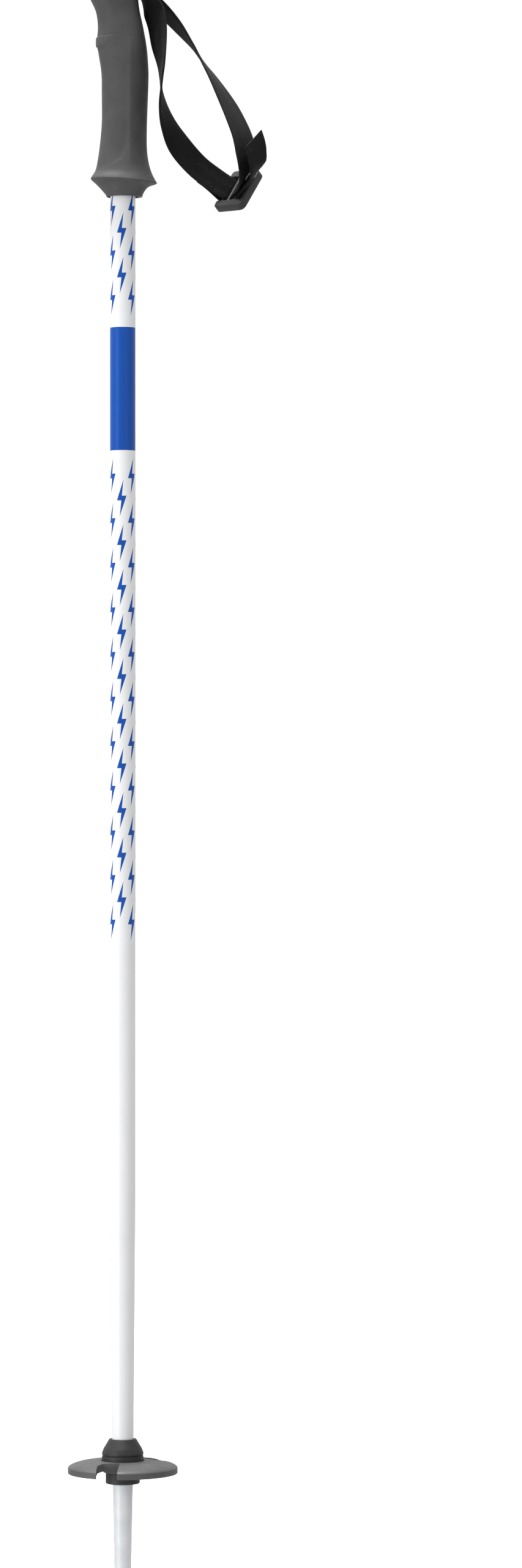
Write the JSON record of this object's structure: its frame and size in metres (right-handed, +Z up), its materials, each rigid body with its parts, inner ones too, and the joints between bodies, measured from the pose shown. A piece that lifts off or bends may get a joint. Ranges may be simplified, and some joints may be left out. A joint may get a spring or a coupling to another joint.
{
  "type": "ski pole",
  "caption": "Alpine ski pole with a tapered painted shaft, moulded rubber grip, buckled wrist strap, push-on snow basket and steel tip.",
  "frame": {"origin": "the point of the steel tip, on the shaft's axis", "axes": "+Z up the shaft to the grip; -X is the finger side of the grip and +X the strap side; +Y completes the frame"},
  "size_m": [0.1254, 0.0692, 1.05],
  "materials": {
    "shaft_paint": "glossy white lacquer with a blue band and blue bolt marks",
    "grip_rubber": "matt soft-touch moulded rubber, mid grey",
    "hard_black": "matt hard plastic",
    "strap_webbing": "flat woven webbing, near black",
    "buckle_grey": "satin moulded plastic, dark grey",
    "ferrule_white": "smooth white moulded plastic",
    "tip_steel": "hardened steel, ground",
    "screw_steel": "zinc-plated steel",
    "basket_grey": "matt moulded plastic, grey",
    "basket_dark": "satin moulded plastic, dark grey"
  },
  "bodies": {
    "pole": {"shaft_tube": "shaft_paint", "tube_plug": "hard_black", "ferrule": "ferrule_white", "tip_insert": "tip_steel", "grip_core": "hard_black", "grip_body": "grip_rubber", "grip_cap": "hard_black", "cap_screw": "screw_steel", "strap_pin": "screw_steel"},
    "strap": {"wrist_strap": "strap_webbing"},
    "buckle": {"strap_buckle": "buckle_grey", "strap_tail": "strap_webbing"},
    "basket": {"basket_hub": "basket_dark", "basket_collar": "basket_dark"},
    "disc": {"basket_disc": "basket_grey"}
  },
  "joints": [
    {"name": "strap_swing", "type": "hinge", "parent": "pole", "child": "strap", "pos_m": [0.0015, 0, 1.03], "axis": [0, -1, 0], "range_deg": [0, 100]},
    {"name": "buckle_tilt", "type": "hinge", "parent": "strap", "child": "buckle", "pos_m": [0.0668, 0.00062, 0.8966], "axis": [0.41, 0.4729, 0.7799], "range_deg": [0, 25]},
    {"name": "basket_pull", "type": "slide", "parent": "pole", "child": "basket", "axis": [0, 0, -1], "range_m": [0, 0.12]},
    {"name": "basket_turn", "type": "hinge", "parent": "basket", "child": "disc", "pos_m": [0, 0, 0.094], "axis": [0, 0, 1], "continuous": true}
  ]
}
